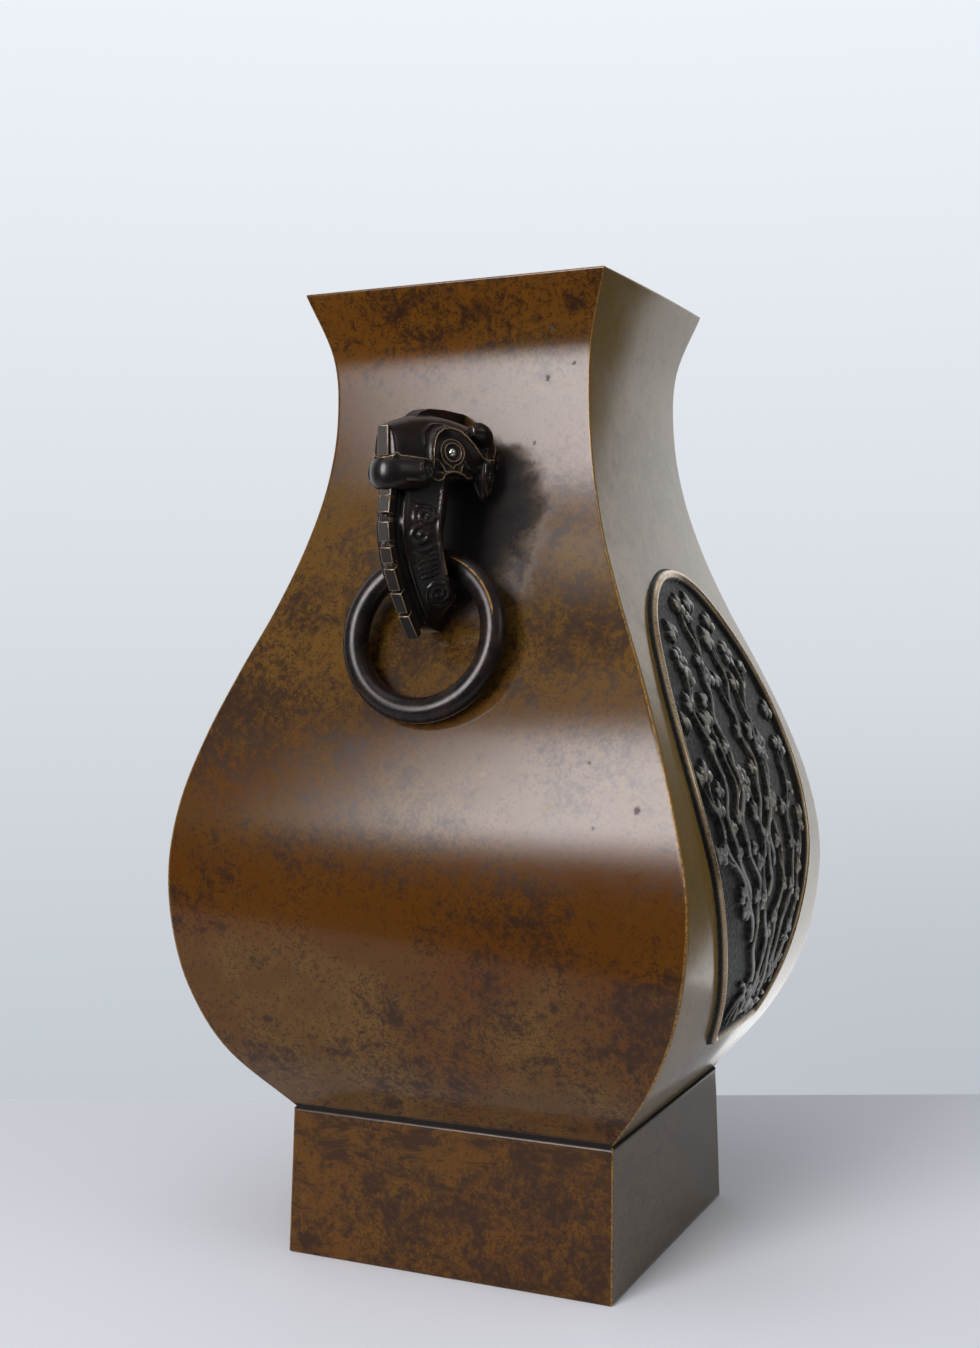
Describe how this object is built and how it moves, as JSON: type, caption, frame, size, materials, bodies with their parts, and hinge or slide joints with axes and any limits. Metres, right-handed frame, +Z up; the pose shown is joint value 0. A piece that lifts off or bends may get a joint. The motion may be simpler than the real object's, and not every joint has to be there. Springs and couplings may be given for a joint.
{
  "type": "bronze wine vessel",
  "caption": "Square-section bronze vase with a flared mouth and tall foot, relief plant panels on opposite faces, and beast-head handles with loose rings on the others.",
  "frame": {"origin": "centre of the foot's underside", "axes": "+Z up out of the mouth, -Y out of the front handle's face, +X out of the right-hand relief face"},
  "size_m": [0.2176, 0.2266, 0.38],
  "materials": {
    "ochre_bronze": "satin ochre-brown patina with purple-brown mottling",
    "dark_bronze": "satin near-black patina, rubbed to brown on high places"
  },
  "bodies": {
    "vessel": {"vessel": "ochre_bronze", "front_handle": "dark_bronze", "back_handle": "dark_bronze"},
    "front_ring": {"front_ring": "dark_bronze"},
    "back_ring": {"back_ring": "dark_bronze"}
  },
  "joints": [
    {"name": "front_ring_hinge", "type": "hinge", "parent": "vessel", "child": "front_ring", "pos_m": [0, -0.0745, 0.2731], "axis": [-1, 0, 0], "range_deg": [0, 100]},
    {"name": "back_ring_hinge", "type": "hinge", "parent": "vessel", "child": "back_ring", "pos_m": [0, 0.0745, 0.2731], "axis": [1, 0, 0], "range_deg": [0, 100]}
  ]
}
